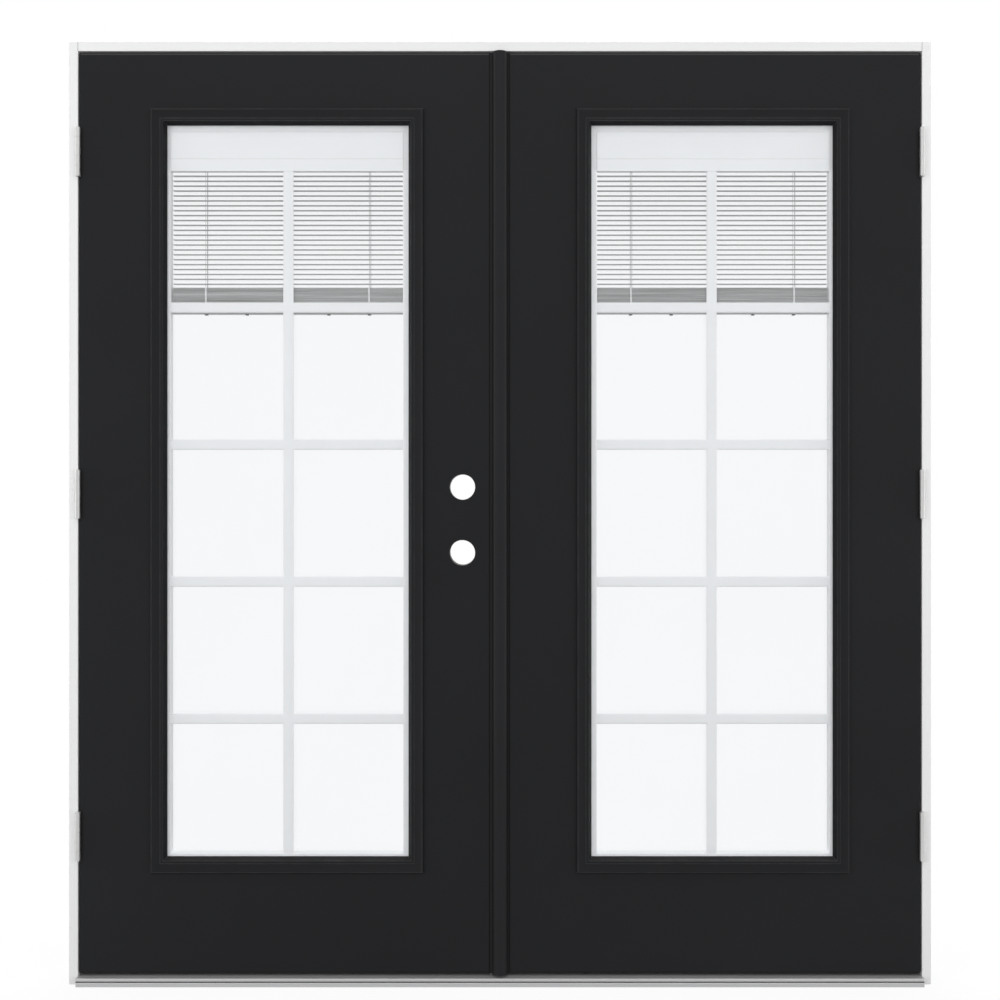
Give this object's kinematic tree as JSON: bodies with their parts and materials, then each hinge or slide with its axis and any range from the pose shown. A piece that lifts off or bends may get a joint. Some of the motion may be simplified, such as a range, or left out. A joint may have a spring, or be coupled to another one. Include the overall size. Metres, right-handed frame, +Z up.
{
  "type": "french doors",
  "caption": "Out-swinging french doors in their frame: glazed leaves with raised enclosed blinds and grilles, half-round astragal, butt hinges, metal sill and open lock bores.",
  "frame": {"origin": "middle of the frame's width and depth, on the underside of the sill", "axes": "+X to the right as seen from outside, +Y from outside to inside, +Z up"},
  "size_m": [1.828, 0.131, 1.998],
  "materials": {
    "frame_paint": "white satin paint on a composite-footed wood jamb",
    "sill_metal": "mill-finish extrusion, fine lengthwise grain",
    "seal_rubber": "matte black foam and vinyl",
    "hinge_metal": "satin nickel",
    "screw_steel": "zinc plated",
    "leaf_paint": "satin black paint",
    "core_foam": "rigid foam",
    "lite_frame_plastic": "satin black moulding",
    "pane_glass": "clear",
    "lite_white": "smooth white",
    "blind_white": "white baked enamel",
    "slider_plastic": "smooth white"
  },
  "bodies": {
    "frame": {"left_jamb": "frame_paint", "right_jamb": "frame_paint", "head_jamb": "frame_paint", "sill_base": "sill_metal", "sill_cover": "sill_metal", "frame_weatherstrip": "seal_rubber", "sill_bumper": "seal_rubber", "left_frame_hinge_leaves": "hinge_metal", "right_frame_hinge_leaves": "hinge_metal", "frame_hinge_screws": "screw_steel", "hinge_pins": "hinge_metal"},
    "left_leaf": {"left_outer_skin": "leaf_paint", "left_inner_skin": "leaf_paint", "left_hinge_stile": "leaf_paint", "left_lock_stile": "leaf_paint", "left_top_rail": "leaf_paint", "left_bottom_rail": "leaf_paint", "left_core": "core_foam", "left_outer_lite_frame": "lite_frame_plastic", "left_inner_lite_frame": "lite_frame_plastic", "left_outer_glass": "pane_glass", "left_inner_glass": "pane_glass", "left_glass_spacer": "lite_white", "left_grille": "lite_white", "left_blind_header": "lite_white", "left_hanging_slats": "blind_white", "left_lite_screws": "screw_steel", "left_door_sweep": "seal_rubber", "left_door_hinge_leaves": "hinge_metal", "left_door_hinge_screws": "screw_steel"},
    "left_blind": {"left_slat_stack": "blind_white", "left_blind_bottom_rail": "blind_white"},
    "left_slider": {"left_blind_slider": "slider_plastic"},
    "right_leaf": {"right_outer_skin": "leaf_paint", "right_inner_skin": "leaf_paint", "right_hinge_stile": "leaf_paint", "right_meeting_stile": "leaf_paint", "right_top_rail": "leaf_paint", "right_bottom_rail": "leaf_paint", "right_core": "core_foam", "right_outer_lite_frame": "lite_frame_plastic", "right_inner_lite_frame": "lite_frame_plastic", "right_outer_glass": "pane_glass", "right_inner_glass": "pane_glass", "right_glass_spacer": "lite_white", "right_grille": "lite_white", "right_blind_header": "lite_white", "right_hanging_slats": "blind_white", "right_lite_screws": "screw_steel", "right_door_sweep": "seal_rubber", "right_door_hinge_leaves": "hinge_metal", "right_door_hinge_screws": "screw_steel", "astragal": "leaf_paint", "astragal_seal": "seal_rubber"},
    "right_blind": {"right_slat_stack": "blind_white", "right_blind_bottom_rail": "blind_white"},
    "right_slider": {"right_blind_slider": "slider_plastic"},
    "top_bolt": {"top_shoot_bolt": "hinge_metal"},
    "bottom_bolt": {"bottom_shoot_bolt": "hinge_metal"}
  },
  "joints": [
    {"name": "left_leaf_swing", "type": "hinge", "parent": "frame", "child": "left_leaf", "pos_m": [-0.8935, -0.064, 1], "axis": [0, 0, -1], "range_deg": [0, 170]},
    {"name": "right_leaf_swing", "type": "hinge", "parent": "frame", "child": "right_leaf", "pos_m": [0.8935, -0.064, 1], "axis": [0, 0, 1], "range_deg": [0, 170]},
    {"name": "left_slider_slide", "type": "slide", "parent": "left_leaf", "child": "left_slider", "axis": [0, 0, -1], "range_m": [0, 0.2]},
    {"name": "left_blind_lift", "type": "slide", "parent": "left_leaf", "child": "left_blind", "axis": [0, 0, 1], "range_m": [0, 0.2], "deforming": ["left_hanging_slats"]},
    {"name": "right_slider_slide", "type": "slide", "parent": "right_leaf", "child": "right_slider", "axis": [0, 0, -1], "range_m": [0, 0.2]},
    {"name": "right_blind_lift", "type": "slide", "parent": "right_leaf", "child": "right_blind", "axis": [0, 0, 1], "range_m": [0, 0.2], "deforming": ["right_hanging_slats"]},
    {"name": "top_bolt_slide", "type": "slide", "parent": "right_leaf", "child": "top_bolt", "axis": [0, 0, 1], "range_m": [0, 0.018]},
    {"name": "bottom_bolt_slide", "type": "slide", "parent": "right_leaf", "child": "bottom_bolt", "axis": [0, 0, -1], "range_m": [0, 0.018]}
  ],
  "couplings": [
    {"joint": "left_blind_lift", "follows": "left_slider_slide", "ratio": 1},
    {"joint": "right_blind_lift", "follows": "right_slider_slide", "ratio": 1}
  ]
}
